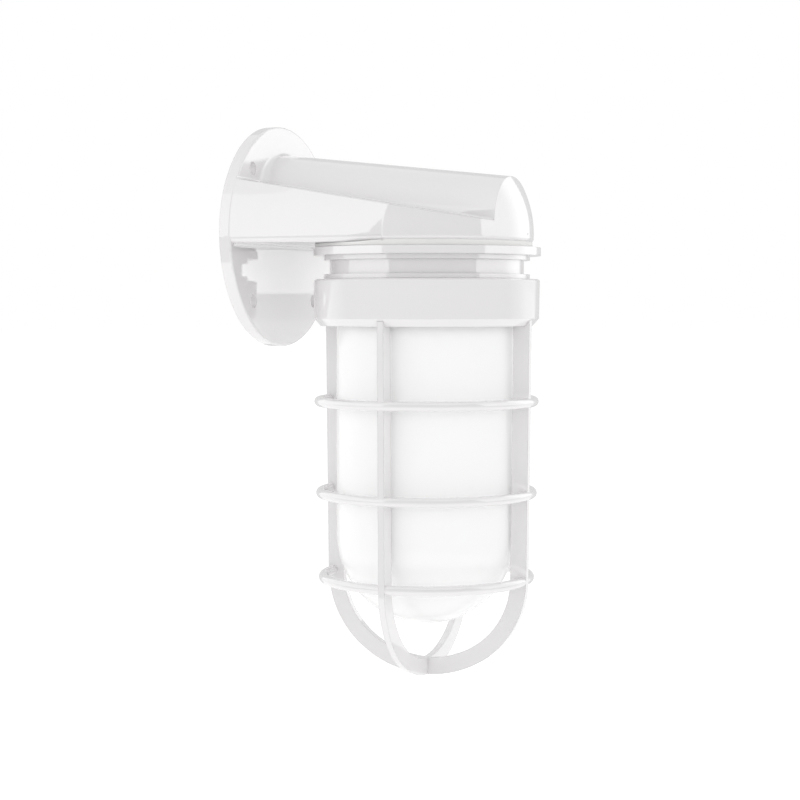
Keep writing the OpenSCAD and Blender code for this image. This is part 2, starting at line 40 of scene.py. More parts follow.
# Camera at the photograph's angle
view = {
    "place": (-0.94913, -0.50904, -0.03891),
    "tilt": 87.0,        # degrees up from straight down
    "turn": -65.73,      # degrees about the upright axis
    "lens": 82.42,
}
cameraData = bpy.data.cameras.new("photoCamera")
cameraData.lens = view["lens"]
cameraData.sensor_width = 36.0
cameraData.clip_start = 0.02
cameraData.clip_end = 60.0
camera = bpy.data.objects.new("photoCamera", cameraData)
camera.location = view["place"]
camera.rotation_euler = (math.radians(view["tilt"]), 0.0, math.radians(view["turn"]))
scene.collection.objects.link(camera)
scene.camera = camera
scene.view_settings.view_transform = "Standard"

reach = 97.5 * mm                                # wall to the lamp's upright centre line
lampCentre = Vector((0.0, -reach, 0.0))
middle = Vector((0.0, -0.085, -0.09))            # point that the lamps aim at


# Studio: pale cards all round the object with a darker one behind the camera, a grey roof and a
# pale floor. Turns and rises are in degrees, seen from the object; turn 0 is toward the camera.

studio = {
    "horizonLevel": 1.24,        # what matte surfaces get from the sides
    "zenithLevel": 0.50,         # and from straight above
    "floorHeight": -0.95,
    "floorHalf": 90.0,           # half of the floor's side
    "floorColour": 0.62,
    "floorGlow": 0.45,           # lift for matte surfaces
    "floorShine": 0.64,          # lift where it is seen or mirrored
    "rightCard": {"turns": (58.5, 142.0), "rises": (1.75, 62.0), "distance": 2.4, "grey": 1.2},
    "rearCard": {"turns": (142.0, 212.0), "rises": (-20.0, 62.0), "distance": 2.4, "grey": 0.72},
    "leftCard": {"turns": (212.0, 315.2), "rises": (1.75, 62.0), "distance": 2.4, "grey": 1.2},
    "frontCard": {"turns": (-44.8, 58.5), "rises": (1.75, 62.0), "distance": 2.4, "grey": 0.40},
    "plateCard": {"turns": (98.0, 146.0), "rises": (1.75, 62.0), "distance": 2.3, "grey": 1.6,
                  "fade": 18.0},     # degrees over which both its ends thin out
    "lowCard": {"turns": (-118.0, 118.0), "rises": (-24.0, 1.75), "distance": 2.4, "grey": 0.58,
                "fade": 30.0},
    "roofCard": {"height": 1.3, "size": 2.6, "grey": 0.95},
    "leftPanel": {"turn": -70, "rise": 6, "distance": 2.2, "size": (2.6, 1.6), "watts": 4.0},
    "rightPanel": {"turn": 60, "rise": 6, "distance": 2.2, "size": (2.6, 1.6), "watts": 2.0},
    "roofPanel": {"turn": 10, "rise": 72, "distance": 2.0, "size": (1.8, 1.8), "watts": 3.0},
}


def aroundObject(turn, rise, distance):
    # turn 0 is toward the camera and 90 is to its right; distance is in metres
    flatTurn = math.radians(turn + view["turn"])
    flat = Vector((math.sin(flatTurn), -math.cos(flatTurn), 0.0))
    upTurn = math.radians(rise)
    return middle + (flat * math.cos(upTurn) + Vector((0, 0, math.sin(upTurn)))) * distance


def mathNode(tree, operation, first, second=None, clamp=False):
    node = tree.nodes.new("ShaderNodeMath")
    node.operation = operation
    node.use_clamp = clamp
    for socket, value in zip(node.inputs, (first, second)):
        if value is None:
            continue
        if isinstance(value, (int, float)):
            socket.default_value = value
        else:
            tree.links.new(value, socket)
    return node.outputs[0]


def seenDirectly(tree):
    # 1 where something is looked at, mirrored or seen through glass, 0 for the soft light it gives
    path = tree.nodes.new("ShaderNodeLightPath")
    seen = mathNode(tree, "MAXIMUM", path.outputs["Is Camera Ray"], path.outputs["Is Glossy Ray"])
    return mathNode(tree, "MAXIMUM", seen, path.outputs["Is Transmission Ray"])


def makeWorld():
    world = bpy.data.worlds.new("softStudio")
    scene.world = world
    world.use_nodes = True
    tree = world.node_tree
    tree.nodes.clear()
    out = tree.nodes.new("ShaderNodeOutputWorld")
    soft = tree.nodes.new("ShaderNodeBackground")
    soft.inputs["Color"].default_value = (1.0, 1.0, 1.0, 1.0)
    direction = tree.nodes.new("ShaderNodeTexCoord")
    parts = tree.nodes.new("ShaderNodeSeparateXYZ")
    tree.links.new(direction.outputs["Generated"], parts.inputs[0])
    level = tree.nodes.new("ShaderNodeMapRange")
    level.interpolation_type = "SMOOTHSTEP"
    level.inputs["To Min"].default_value = studio["horizonLevel"]
    level.inputs["To Max"].default_value = studio["zenithLevel"]
    tree.links.new(parts.outputs["Z"], level.inputs["Value"])
    tree.links.new(level.outputs[0], soft.inputs["Strength"])
    white = tree.nodes.new("ShaderNodeBackground")
    white.inputs["Color"].default_value = (1.0, 1.0, 1.0, 1.0)
    white.inputs["Strength"].default_value = 1.0
    mix = tree.nodes.new("ShaderNodeMixShader")
    tree.links.new(seenDirectly(tree), mix.inputs[0])
    tree.links.new(soft.outputs[0], mix.inputs[1])
    tree.links.new(white.outputs[0], mix.inputs[2])
    tree.links.new(mix.outputs[0], out.inputs["Surface"])


def makeFloor():
    # Pale grey; where it is seen, a glow lifts it to white wherever no shadow falls
    bm = bmesh.new()
    bmesh.ops.create_grid(bm, x_segments=8, y_segments=8, size=studio["floorHalf"])
    mesh = bpy.data.meshes.new("floor")
    bm.to_mesh(mesh)
    bm.free()
    floor = bpy.data.objects.new("floor", mesh)
    floor.location = (0.0, 0.0, studio["floorHeight"])
    scene.collection.objects.link(floor)
    paint = bpy.data.materials.new("paleFloor")
    paint.use_nodes = True
    tree = paint.node_tree
    tree.nodes.clear()
    out = tree.nodes.new("ShaderNodeOutputMaterial")
    matte = tree.nodes.new("ShaderNodeBsdfDiffuse")
    pale = studio["floorColour"]
    matte.inputs["Color"].default_value = (pale, pale, pale, 1.0)
    glow = tree.nodes.new("ShaderNodeEmission")
    strength = tree.nodes.new("ShaderNodeMapRange")
    strength.inputs["To Min"].default_value = studio["floorGlow"]
    strength.inputs["To Max"].default_value = studio["floorShine"]
    tree.links.new(seenDirectly(tree), strength.inputs["Value"])
    tree.links.new(strength.outputs[0], glow.inputs["Strength"])
    both = tree.nodes.new("ShaderNodeAddShader")
    tree.links.new(matte.outputs[0], both.inputs[0])
    tree.links.new(glow.outputs[0], both.inputs[1])
    tree.links.new(both.outputs[0], out.inputs["Surface"])
    mesh.materials.append(paint)


def greyCard(name, verts, faces, grey, cover):
    # A grey board that only the gloss reflects; cover is how solid it is at each corner point
    mesh = bpy.data.meshes.new(name)
    mesh.from_pydata([tuple(v) for v in verts], [], faces)
    mesh.attributes.new("cover", "FLOAT", "POINT").data.foreach_set("value", cover)
    card = bpy.data.objects.new(name, mesh)
    scene.collection.objects.link(card)
    card.visible_camera = False
    card.visible_diffuse = False
    card.visible_transmission = False
    card.visible_shadow = False
    paint = bpy.data.materials.new(name)
    paint.use_nodes = True
    tree = paint.node_tree
    tree.nodes.clear()
    out = tree.nodes.new("ShaderNodeOutputMaterial")
    glow = tree.nodes.new("ShaderNodeEmission")
    glow.inputs["Color"].default_value = (grey, grey, grey, 1.0)
    clear = tree.nodes.new("ShaderNodeBsdfTransparent")
    amount = tree.nodes.new("ShaderNodeAttribute")
    amount.attribute_name = "cover"
    mix = tree.nodes.new("ShaderNodeMixShader")
    tree.links.new(amount.outputs["Fac"], mix.inputs[0])
    tree.links.new(clear.outputs[0], mix.inputs[1])
    tree.links.new(glow.outputs[0], mix.inputs[2])
    tree.links.new(mix.outputs[0], out.inputs["Surface"])
    mesh.materials.append(paint)


def curvedCard(name, values):
    verts, faces, cover = [], [], []
    steps = 48
    first, last = values["turns"]
    for i in range(steps + 1):
        turn = first + (last - first) * i / steps
        solid = 1.0
        if "fade" in values:
            toEdge = min(turn - first, last - turn)
            solid = max(0.0, min(1.0, toEdge / values["fade"]))
        for rise in values["rises"]:
            verts.append(aroundObject(turn, rise, values["distance"]))
            cover.append(solid)
    for i in range(steps):
        faces.append((2 * i, 2 * i + 1, 2 * i + 3, 2 * i + 2))
    greyCard(name, verts, faces, values["grey"], cover)


def makeRoofCard():
    roof = studio["roofCard"]
    half = roof["size"] / 2
    high = middle + Vector((0, 0, roof["height"]))
    signs = ((-1, -1), (1, -1), (1, 1), (-1, 1))
    corners = [high + Vector((x * half, y * half, 0)) for x, y in signs]
    greyCard("roofCard", corners, [(0, 1, 2, 3)], roof["grey"], [1.0] * 4)


def softPanel(name, values):
    light = bpy.data.lights.new(name, "AREA")
    light.shape = "RECTANGLE"
    light.size, light.size_y = values["size"]
    light.energy = values["watts"]
    lamp = bpy.data.objects.new(name, light)
    lamp.location = aroundObject(values["turn"], values["rise"], values["distance"])
    lamp.rotation_euler = (middle - lamp.location).to_track_quat("-Z", "Y").to_euler()
    lamp.visible_camera = False
    lamp.visible_glossy = False
    scene.collection.objects.link(lamp)


makeWorld()
makeFloor()
for cardName in ("rightCard", "plateCard", "rearCard", "leftCard", "frontCard", "lowCard"):
    curvedCard(cardName, studio[cardName])
makeRoofCard()
for panelName in ("leftPanel", "rightPanel", "roofPanel"):
    softPanel(panelName, studio[panelName])
print("studio ready")


# Shader groups

maskGain = 3.0       # how fast a mask rises from 0 to 1


def newGroup(name, inputs, outputs):
    group = bpy.data.node_groups.new(name, "ShaderNodeTree")
    for label, value in inputs:
        socket = group.interface.new_socket(name=label, in_out="INPUT", socket_type="NodeSocketFloat")
        socket.default_value = value
    for label, kind in outputs:
        group.interface.new_socket(name=label, in_out="OUTPUT", socket_type=kind)
    return group, group.nodes.new("NodeGroupInput"), group.nodes.new("NodeGroupOutput")


def makeRoundedEdge():
    # Normal as if each sharp edge and corner had a small radius, and a mask of where that is
    group, gin, gout = newGroup("roundedEdge", [("Radius", 0.0008)],
                                [("Normal", "NodeSocketVector"), ("Edge", "NodeSocketFloat")])
    bevel = group.nodes.new("ShaderNodeBevel")
    bevel.samples = 6
    group.links.new(gin.outputs["Radius"], bevel.inputs["Radius"])
    geometry = group.nodes.new("ShaderNodeNewGeometry")
    dot = group.nodes.new("ShaderNodeVectorMath")
    dot.operation = "DOT_PRODUCT"
    group.links.new(bevel.outputs[0], dot.inputs[0])
    group.links.new(geometry.outputs["Normal"], dot.inputs[1])
    away = mathNode(group, "SUBTRACT", 1.0, dot.outputs["Value"], clamp=True)
    edge = mathNode(group, "MULTIPLY", away, maskGain, clamp=True)
    group.links.new(bevel.outputs[0], gout.inputs["Normal"])
    group.links.new(edge, gout.inputs["Edge"])
    return group


def makeSurfaceGrain():
    # Fine and broad unevenness of a coated, moulded or cast surface; sizes are in metres
    group, gin, gout = newGroup("surfaceGrain",
                                [("Fine Size", 0.0012), ("Broad Size", 0.014), ("Broad Share", 0.6)],
                                [("Height", "NodeSocketFloat"), ("Tone", "NodeSocketFloat")])
    place = group.nodes.new("ShaderNodeTexCoord")
    results = []
    for label, detail in (("Fine Size", 2.0), ("Broad Size", 1.0)):
        noise = group.nodes.new("ShaderNodeTexNoise")
        noise.inputs["Detail"].default_value = detail
        noise.inputs["Roughness"].default_value = 0.45
        group.links.new(place.outputs["Object"], noise.inputs["Vector"])
        group.links.new(mathNode(group, "DIVIDE", 1.0, gin.outputs[label]), noise.inputs["Scale"])
        results.append(noise.outputs["Fac"])
    broad = mathNode(group, "MULTIPLY", results[1], gin.outputs["Broad Share"])
    group.links.new(mathNode(group, "ADD", results[0], broad), gout.inputs["Height"])
    group.links.new(results[1], gout.inputs["Tone"])
    return group


def makeHandling():
    # Soft patches where a surface was wiped or touched, from 0 clean to 1
    group, gin, gout = newGroup("handling", [("Patch Size", 0.03), ("Cover", 0.45)],
                                [("Mask", "NodeSocketFloat")])
    place = group.nodes.new("ShaderNodeTexCoord")
    noise = group.nodes.new("ShaderNodeTexNoise")
    noise.inputs["Detail"].default_value = 4.0
    noise.inputs["Roughness"].default_value = 0.6
    noise.inputs["Distortion"].default_value = 0.6
    group.links.new(place.outputs["Object"], noise.inputs["Vector"])
    group.links.new(mathNode(group, "DIVIDE", 1.0, gin.outputs["Patch Size"]), noise.inputs["Scale"])
    above = mathNode(group, "SUBTRACT", noise.outputs["Fac"], gin.outputs["Cover"])
    group.links.new(mathNode(group, "MULTIPLY", above, maskGain, clamp=True), gout.inputs["Mask"])
    return group


roundedEdge = makeRoundedEdge()
surfaceGrain = makeSurfaceGrain()
handling = makeHandling()


# Materials

def colourMix(tree, factor, first, second):
    node = tree.nodes.new("ShaderNodeMix")
    node.data_type = "RGBA"
    if isinstance(factor, (int, float)):
        node.inputs["Factor"].default_value = factor
    else:
        tree.links.new(factor, node.inputs["Factor"])
    for socket, value in ((node.inputs[6], first), (node.inputs[7], second)):
        if isinstance(value, tuple):
            socket.default_value = (*value, 1.0)
        else:
            tree.links.new(value, socket)
    return node.outputs[2]


def makeFinish(name, values):
    # One glossy or matte finish: colour, edge tone, patches in the roughness, and a grain
    material = bpy.data.materials.new(name)
    material.use_nodes = True
    tree = material.node_tree
    shader = tree.nodes["Principled BSDF"]
    for label, value in values.get("sockets", {}).items():
        shader.inputs[label].default_value = value
    edgeRadius = values.get("edgeRadius", 0.0004)
    grain = tree.nodes.new("ShaderNodeGroup")
    grain.node_tree = surfaceGrain
    for label, value in values["grain"].items():
        grain.inputs[label].default_value = value
    patches = tree.nodes.new("ShaderNodeGroup")
    patches.node_tree = handling
    for label, value in values.get("patches", {}).items():
        patches.inputs[label].default_value = value
    toned = colourMix(tree, grain.outputs["Tone"], values["colour"], values["otherColour"])
    bump = tree.nodes.new("ShaderNodeBump")
    if edgeRadius > 0:
        edges = tree.nodes.new("ShaderNodeGroup")
        edges.node_tree = roundedEdge
        edges.inputs["Radius"].default_value = edgeRadius
        toned = colourMix(tree, edges.outputs["Edge"], toned, values["edgeColour"])
        tree.links.new(edges.outputs["Normal"], bump.inputs["Normal"])
    tree.links.new(toned, shader.inputs["Base Color"])
    low, high = values["roughness"]
    spread = mathNode(tree, "MULTIPLY", patches.outputs["Mask"], high - low)
    tree.links.new(mathNode(tree, "ADD", spread, low), shader.inputs["Roughness"])
    bump.inputs["Strength"].default_value = 1.0
    bump.inputs["Distance"].default_value = values["grainDepth"]
    tree.links.new(grain.outputs["Height"], bump.inputs["Height"])
    tree.links.new(bump.outputs[0], shader.inputs["Normal"])
    material.diffuse_color = (*values["colour"], 1.0)
    return material


finishes = {
    "whiteEnamel": {
        "colour": (0.845, 0.832, 0.837), "otherColour": (0.837, 0.824, 0.829),
        "edgeColour": (0.835, 0.822, 0.827),
        "roughness": (0.03, 0.07), "edgeRadius": 0.0009, "grainDepth": 0.000003,
        "grain": {"Fine Size": 0.0016, "Broad Size": 0.022, "Broad Share": 1.2},
        "patches": {"Patch Size": 0.035, "Cover": 0.48},
        "sockets": {"IOR": 1.5, "Coat Weight": 1.0, "Coat Roughness": 0.015, "Coat IOR": 2.2},
    },
    "opalGlass": {
        "colour": (0.970, 0.970, 0.970), "otherColour": (0.962, 0.962, 0.962),
        "edgeColour": (0.94, 0.94, 0.94),
        "roughness": (0.05, 0.08), "edgeRadius": 0.0006, "grainDepth": 0.000006,
        "grain": {"Fine Size": 0.006, "Broad Size": 0.03, "Broad Share": 1.5},
        "sockets": {"IOR": 1.5, "Subsurface Weight": 0.3, "Subsurface Scale": 0.003,
                    "Subsurface Radius": (1.0, 1.0, 1.0),
                    # painted glow: the faint emission brightens the jar, which gives no light of its
                    # own since the lamp is unlit
                    "Emission Color": (1.0, 1.0, 1.0, 1.0), "Emission Strength": 0.04},
    },
    "frostedBulb": {
        "colour": (0.93, 0.93, 0.91), "otherColour": (0.91, 0.91, 0.89),
        "edgeColour": (0.88, 0.88, 0.86),
        "roughness": (0.28, 0.36), "edgeRadius": 0.0003, "grainDepth": 0.000004,
        "grain": {"Fine Size": 0.0008, "Broad Size": 0.02, "Broad Share": 0.5},
        "sockets": {"IOR": 1.5, "Subsurface Weight": 0.4, "Subsurface Scale": 0.006,
                    "Subsurface Radius": (1.0, 1.0, 1.0)},
    },
    "paleRubber": {
        "colour": (0.86, 0.86, 0.85), "otherColour": (0.82, 0.82, 0.81),
        "edgeColour": (0.86, 0.86, 0.85),
        "roughness": (0.52, 0.68), "edgeRadius": 0.0003, "grainDepth": 0.00003,
        "grain": {"Fine Size": 0.0005, "Broad Size": 0.01, "Broad Share": 0.8},
    },
    "platedSteel": {
        "colour": (0.62, 0.62, 0.63), "otherColour": (0.55, 0.55, 0.565),
        "edgeColour": (0.74, 0.74, 0.75),
        "roughness": (0.2, 0.36), "edgeRadius": 0.0002, "grainDepth": 0.000012,
        "grain": {"Fine Size": 0.0004, "Broad Size": 0.004, "Broad Share": 0.7},
        "sockets": {"Metallic": 1.0},
    },
    "stampedBrass": {
        "colour": (0.70, 0.50, 0.20), "otherColour": (0.58, 0.40, 0.16),
        "edgeColour": (0.80, 0.62, 0.30),
        "roughness": (0.24, 0.4), "edgeRadius": 0.0002, "grainDepth": 0.000012,
        "grain": {"Fine Size": 0.0005, "Broad Size": 0.005, "Broad Share": 0.7},
        "sockets": {"Metallic": 1.0},
    },
    "glazedPorcelain": {
        "colour": (0.86, 0.84, 0.79), "otherColour": (0.82, 0.80, 0.75),
        "edgeColour": (0.78, 0.74, 0.66),
        "roughness": (0.08, 0.16), "edgeRadius": 0.0006, "grainDepth": 0.00002,
        "grain": {"Fine Size": 0.003, "Broad Size": 0.012, "Broad Share": 1.2},
        "sockets": {"IOR": 1.52},
    },
    "blackInsulation": {
        "colour": (0.022, 0.022, 0.023), "otherColour": (0.03, 0.03, 0.031),
        "edgeColour": (0.05, 0.05, 0.05),
        "roughness": (0.34, 0.5), "edgeRadius": 0.0002, "grainDepth": 0.00001,
        "grain": {"Fine Size": 0.0006, "Broad Size": 0.006, "Broad Share": 0.8},
    },
    "whiteInsulation": {
        "colour": (0.78, 0.78, 0.75), "otherColour": (0.72, 0.72, 0.69),
        "edgeColour": (0.82, 0.82, 0.8),
        "roughness": (0.34, 0.5), "edgeRadius": 0.0002, "grainDepth": 0.00001,
        "grain": {"Fine Size": 0.0006, "Broad Size": 0.006, "Broad Share": 0.8},
    },
    "greenInsulation": {
        "colour": (0.03, 0.20, 0.06), "otherColour": (0.024, 0.16, 0.05),
        "edgeColour": (0.06, 0.28, 0.1),
        "roughness": (0.34, 0.5), "edgeRadius": 0.0002, "grainDepth": 0.00001,
        "grain": {"Fine Size": 0.0006, "Broad Size": 0.006, "Broad Share": 0.8},
    },
    "greenLacquer": {
        "colour": (0.03, 0.22, 0.07), "otherColour": (0.024, 0.17, 0.055),
        "edgeColour": (0.35, 0.42, 0.36),
        "roughness": (0.22, 0.36), "edgeRadius": 0.0003, "grainDepth": 0.000015,
        "grain": {"Fine Size": 0.0005, "Broad Size": 0.004, "Broad Share": 0.7},
    },
    "bareCopper": {
        "colour": (0.72, 0.34, 0.20), "otherColour": (0.60, 0.27, 0.16),
        "edgeColour": (0.82, 0.46, 0.30),
        "roughness": (0.22, 0.36), "edgeRadius": 0.0001, "grainDepth": 0.000008,
        "grain": {"Fine Size": 0.0004, "Broad Size": 0.003, "Broad Share": 0.7},
        "sockets": {"Metallic": 1.0},
    },
}
# Round bars need no edge radius, and the fillet strips' feather edges would turn dark with one
finishes["smoothEnamel"] = dict(finishes["whiteEnamel"], edgeRadius=0.0)
made = {name: makeFinish(name, values) for name, values in finishes.items()}
print("materials ready:", len(made))

nodeFinish = {
    "arm_casting": "whiteEnamel", "cap_casting": "whiteEnamel", "guard_collar": "whiteEnamel",
    "guard_ribs_front_back": "whiteEnamel", "guard_ribs_sides": "whiteEnamel",
    "guard_rings": "smoothEnamel",
    "wall_gasket": "paleRubber", "arm_gasket": "paleRubber", "jar_gasket": "paleRubber",
    "cap_screws": "platedSteel", "lampholder_screws": "platedSteel", "set_screw_back": "platedSteel",
    "set_screw_front": "platedSteel", "neutral_terminal": "platedSteel", "bulb_base": "platedSteel",
    "bulb_contact": "platedSteel", "screw_shell": "stampedBrass", "centre_contact": "stampedBrass",
    "line_terminal": "stampedBrass", "lampholder": "glazedPorcelain", "glass_jar": "opalGlass",
    "bulb_glass": "frostedBulb", "bulb_insulator": "blackInsulation", "line_lead": "blackInsulation",
    "neutral_lead": "whiteInsulation", "ground_lead": "greenInsulation", "ground_screw": "greenLacquer",
}
for nodeName, finishName in nodeFinish.items():
    held = nodes[nodeName]
    if not held.material_slots:
        held.data.materials.append(made[finishName])
    for materialSlot in held.material_slots:
        materialSlot.material = made[finishName]
print("materials on the model's nodes")


# Helpers for the scene's own pieces; lengths in the dictionaries below are in millimetres

sharpAngle = 38      # degrees; edges below it are shaded smooth


def addPiece(name, verts, faces, body, finishName):
    mesh = bpy.data.meshes.new(name)
    mesh.from_pydata([tuple(v) for v in verts], [], faces)
    mesh.validate()
    bm = bmesh.new()
    bm.from_mesh(mesh)
    bmesh.ops.recalc_face_normals(bm, faces=bm.faces)
    bm.to_mesh(mesh)
    bm.free()
    mesh.shade_smooth()
    mesh.set_sharp_from_angle(angle=math.radians(sharpAngle))
    mesh.materials.append(made[finishName])
    piece = bpy.data.objects.new(name, mesh)
    scene.collection.objects.link(piece)
    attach(piece, body)
    return piece


def sweepTube(path, radius, sides, verts, faces):
    # Adds a closed tube along a path of points
    start = len(verts)
    normal = None
    for i, point in enumerate(path):
        before = path[max(i - 1, 0)]
        after = path[min(i + 1, len(path) - 1)]
        along = (after - before).normalized()
        if normal is None:
            normal = along.orthogonal().normalized()
        normal = (normal - along * normal.dot(along)).normalized()
        across = along.cross(normal)
        for k in range(sides):
            turn = 2 * math.pi * k / sides
            verts.append(point + (normal * math.cos(turn) + across * math.sin(turn)) * radius)
    for i in range(len(path) - 1):
        for k in range(sides):
            a = start + i * sides + k
            b = start + i * sides + (k + 1) % sides
            faces.append((a, b, b + sides, a + sides))
    faces.append(tuple(start + k for k in reversed(range(sides))))
    faces.append(tuple(start + (len(path) - 1) * sides + k for k in range(sides)))


def bentPath(points, bend, bendSteps=12, longest=3.6 * mm):
    # Path through corner points with each corner rounded, in steps that are not over long
    path = [points[0]]
    for before, corner, after in zip(points, points[1:], points[2:]):
        inward = (before - corner).normalized()
        outward = (after - corner).normalized()
        start = corner + inward * bend
        end = corner + outward * bend
        for i in range(bendSteps + 1):
            t = i / bendSteps
            path.append(start * (1 - t) ** 2 + corner * 2 * t * (1 - t) + end * t ** 2)
    path.append(points[-1])
    filled = [path[0]]
    for point in path[1:]:
        gap = (point - filled[-1]).length
        count = max(1, int(gap / longest))
        base = filled[-1].copy()
        for i in range(1, count + 1):
            filled.append(base.lerp(point, i / count))
    return filled


# Casting fillets of the arm

armForm = {
    "plateFront": 7.0,           # wall to the plate's front face
    "shelfHeight": 31.7, "shelfSlope": 9.76,
    "ridgeRadius": 29.7, "ridgeHeight": 18.4, "ridgeSlope": 6.5,
    "ridgeEnd": 149.0,           # wall to the end of the strip at the ridge's foot
    "noseRadius": 60.2, "draft": 2.0, "underside": -5.3,
    "filletAtPlate": 2.2, "filletOnShelf": 1.6,
    "ridgeFootFillet": 6.5,      # beside the shelf, where ridge and plate meet
    "ridgeOverrun": 0.2,         # radians that the ridge's strip goes on below the shelf
    "shelfStop": 0.2, "undersideStop": 3.4,      # short of the arm's sides
    "sink": 0.15,                # how deep a strip's hidden corner lies in the casting
}


def filletStrip(points, firstNormals, secondNormals, radii, verts, faces, arcSteps=8):
    # Solid wedge with a hollow face, in the corner between two surfaces
    start = len(verts)
    rows = arcSteps + 2
    for point, first, second, radius in zip(points, firstNormals, secondNormals, radii):
        centre = point + (first + second) * (radius / (1 + first.dot(second)))
        verts.append(point - (first + second).normalized() * armForm["sink"] * mm)
        for i in range(arcSteps + 1):
            direction = (-first).slerp(-second, i / arcSteps)
            verts.append(centre + direction * radius)
    for i in range(len(points) - 1):
        for k in range(rows):
            a = start + i * rows + k
            b = start + i * rows + (k + 1) % rows
            faces.append((a, b, b + rows, a + rows))
    faces.append(tuple(start + k for k in reversed(range(rows))))
    faces.append(tuple(start + (len(points) - 1) * rows + k for k in range(rows)))


def makeArmFillets():
    form = armForm
    shelfTurn = math.radians(form["shelfSlope"])
    ridgeSin = math.sin(math.radians(form["ridgeSlope"]))
    ridgeCos = math.cos(math.radians(form["ridgeSlope"]))
    draftTan = math.tan(math.radians(form["draft"]))
    front, radius = form["plateFront"], form["ridgeRadius"]
    plateFillet = form["filletAtPlate"] * mm
    plateNormal = Vector((0, -1, 0))
    shelfNormal = Vector((0, -math.sin(shelfTurn), math.cos(shelfTurn)))
    verts, faces = [], []

    def shelfCorner(out):
        # Point and ridge normal where the shelf meets the ridge, at a distance from the wall
        height = form["shelfHeight"] - out * math.tan(shelfTurn)
        up = out * ridgeSin + (height - form["ridgeHeight"]) * ridgeCos
        side = math.sqrt(radius ** 2 - up ** 2)
        normal = Vector((side / radius, -ridgeSin * up / radius, ridgeCos * up / radius))
        return Vector((side, -out, height)), normal, math.asin(up / radius)

    # round the ridge where it leaves the plate, widest beside the shelf
    firstTurn = shelfCorner(front)[2] - form["ridgeOverrun"]
    points, ridgeNormals, radii = [], [], []
    steps = 48
    for i in range(steps + 1):
        turn = firstTurn + (math.pi - 2 * firstTurn) * i / steps
        normal = Vector((math.cos(turn), -ridgeSin * math.sin(turn), ridgeCos * math.sin(turn)))
        along = (front - radius * math.sin(turn) * ridgeSin) / ridgeCos
        height = form["ridgeHeight"] - along * ridgeSin + radius * math.sin(turn) * ridgeCos
        points.append(Vector((radius * math.cos(turn), -front, height)) * mm)
        ridgeNormals.append(normal.normalized())
        wider = (form["ridgeFootFillet"] - form["filletAtPlate"]) * abs(math.cos(turn)) ** 3
        radii.append((form["filletAtPlate"] + wider) * mm)
    filletStrip(points, ridgeNormals, [plateNormal] * len(points), radii, verts, faces)

    backRadius = form["noseRadius"] + reach / mm * draftTan
    for side in (1, -1):
        # along the shelf's back edge
        corner = shelfCorner(front)[0]
        bodyRadius = backRadius - front * draftTan
        farX = math.sqrt(bodyRadius ** 2 - corner.z ** 2) - form["shelfStop"]
        points = []
        for i in range(9):
            x = corner.x + (farX - corner.x) * i / 8
            points.append(Vector((side * x, corner.y, corner.z)) * mm)
        filletStrip(points, [shelfNormal] * 9, [plateNormal] * 9, [plateFillet] * 9, verts, faces)
        # along the ridge's foot
        points, normals = [], []
        for i in range(33):
            corner, normal, _ = shelfCorner(front + (form["ridgeEnd"] - front) * i / 32)
            points.append(Vector((side * corner.x, corner.y, corner.z)) * mm)
            normals.append(Vector((side * normal.x, normal.y, normal.z)).normalized())
        radii = [form["filletOnShelf"] * mm] * 33
        filletStrip(points, normals, [shelfNormal] * 33, radii, verts, faces)
    # under the arm, where its floor meets the plate
    floorNormal = Vector((0, 0, -1))
    width = math.sqrt(backRadius ** 2 - form["underside"] ** 2) - form["undersideStop"]
    points = [Vector((width * (i / 8 - 1), -front, form["underside"])) * mm for i in range(17)]
    filletStrip(points, [floorNormal] * 17, [plateNormal] * 17, [plateFillet] * 17, verts, faces)
    return addPiece("armFillets", verts, faces, "fixture", "smoothEnamel")


makeArmFillets()
print("arm fillets ready")


# Edge of the gasket that squeezes out between the arm and the cap

gasketEdge = {
    "inner": 58.5, "outer": 59.5, "low": -7.45, "high": -5.35,
    "frontRise": 1.05,           # how far it fills the arm's rounded bottom edge in front
    "backReach": 3.2,            # how far it stands out below the arm's flat part
    "fadeTurn": 13.0,            # degrees over which the one turns into the other
    "columns": 144,
}


def makeGasketEdge():
    values = gasketEdge
    columns = values["columns"]
    high, low, inner = values["high"], values["low"], values["inner"]
    verts, faces = [], []
    for k in range(columns):
        turn = 360 * k / columns                     # 0 is away from the wall
        fromFront = min(turn, 360 - turn)
        toBack = (90 + values["fadeTurn"] - fromFront) / values["fadeTurn"]
        front = max(0.0, min(1.0, toBack))
        rise = values["frontRise"] * front
        outer = values["outer"] + values["backReach"] * (1 - front)
        # its cut, with the outer corners rounded and the top hollowed inward
        section = [(inner, low), (outer - 0.35, low), (outer - 0.05, low + 0.25),
                   (outer, low + 0.8), (outer, high - 0.3 + rise), (outer - 0.15, high + rise),
                   (outer - 0.6, high - 0.1 + 0.55 * rise), (inner, high - 0.15 + 0.35 * rise)]
        angle = math.radians(turn)
        for radius, z in section:
            place = Vector((radius * math.sin(angle), -radius * math.cos(angle), z))
            verts.append(lampCentre + place * mm)
    count = len(section)
    for k in range(columns):
        for i in range(count):
            here, there = k * count, (k + 1) % columns * count
            nextI = (i + 1) % count
            faces.append((here + i, here + nextI, there + nextI, there + i))
    return addPiece("gasketEdge", verts, faces, "fixture", "paleRubber")


makeGasketEdge()
print("gasket edge ready")


# Threads

bulbThread = {"top": -22.0, "bottom": -42.0, "radius": 13.0, "depth": 0.75, "wall": 0.45,
              "pitch": 3.63, "fade": 1.2}
shellThread = {"top": -17.6, "bottom": -38.4, "radius": 14.1, "depth": 0.35, "wall": 0.35,
               "pitch": 3.63, "fade": 1.2, "floorHole": 6.4}
jarThread = {"top": -20.5, "bottom": -31.5, "radius": 41.15, "bead": 0.5, "pitch": 4.23}
roundColumns = 96        # faces round a shell or a washer
threadRows = 14          # rows of faces in one turn of a rolled thread
beadSteps = 72           # steps in one turn of the jar's thread


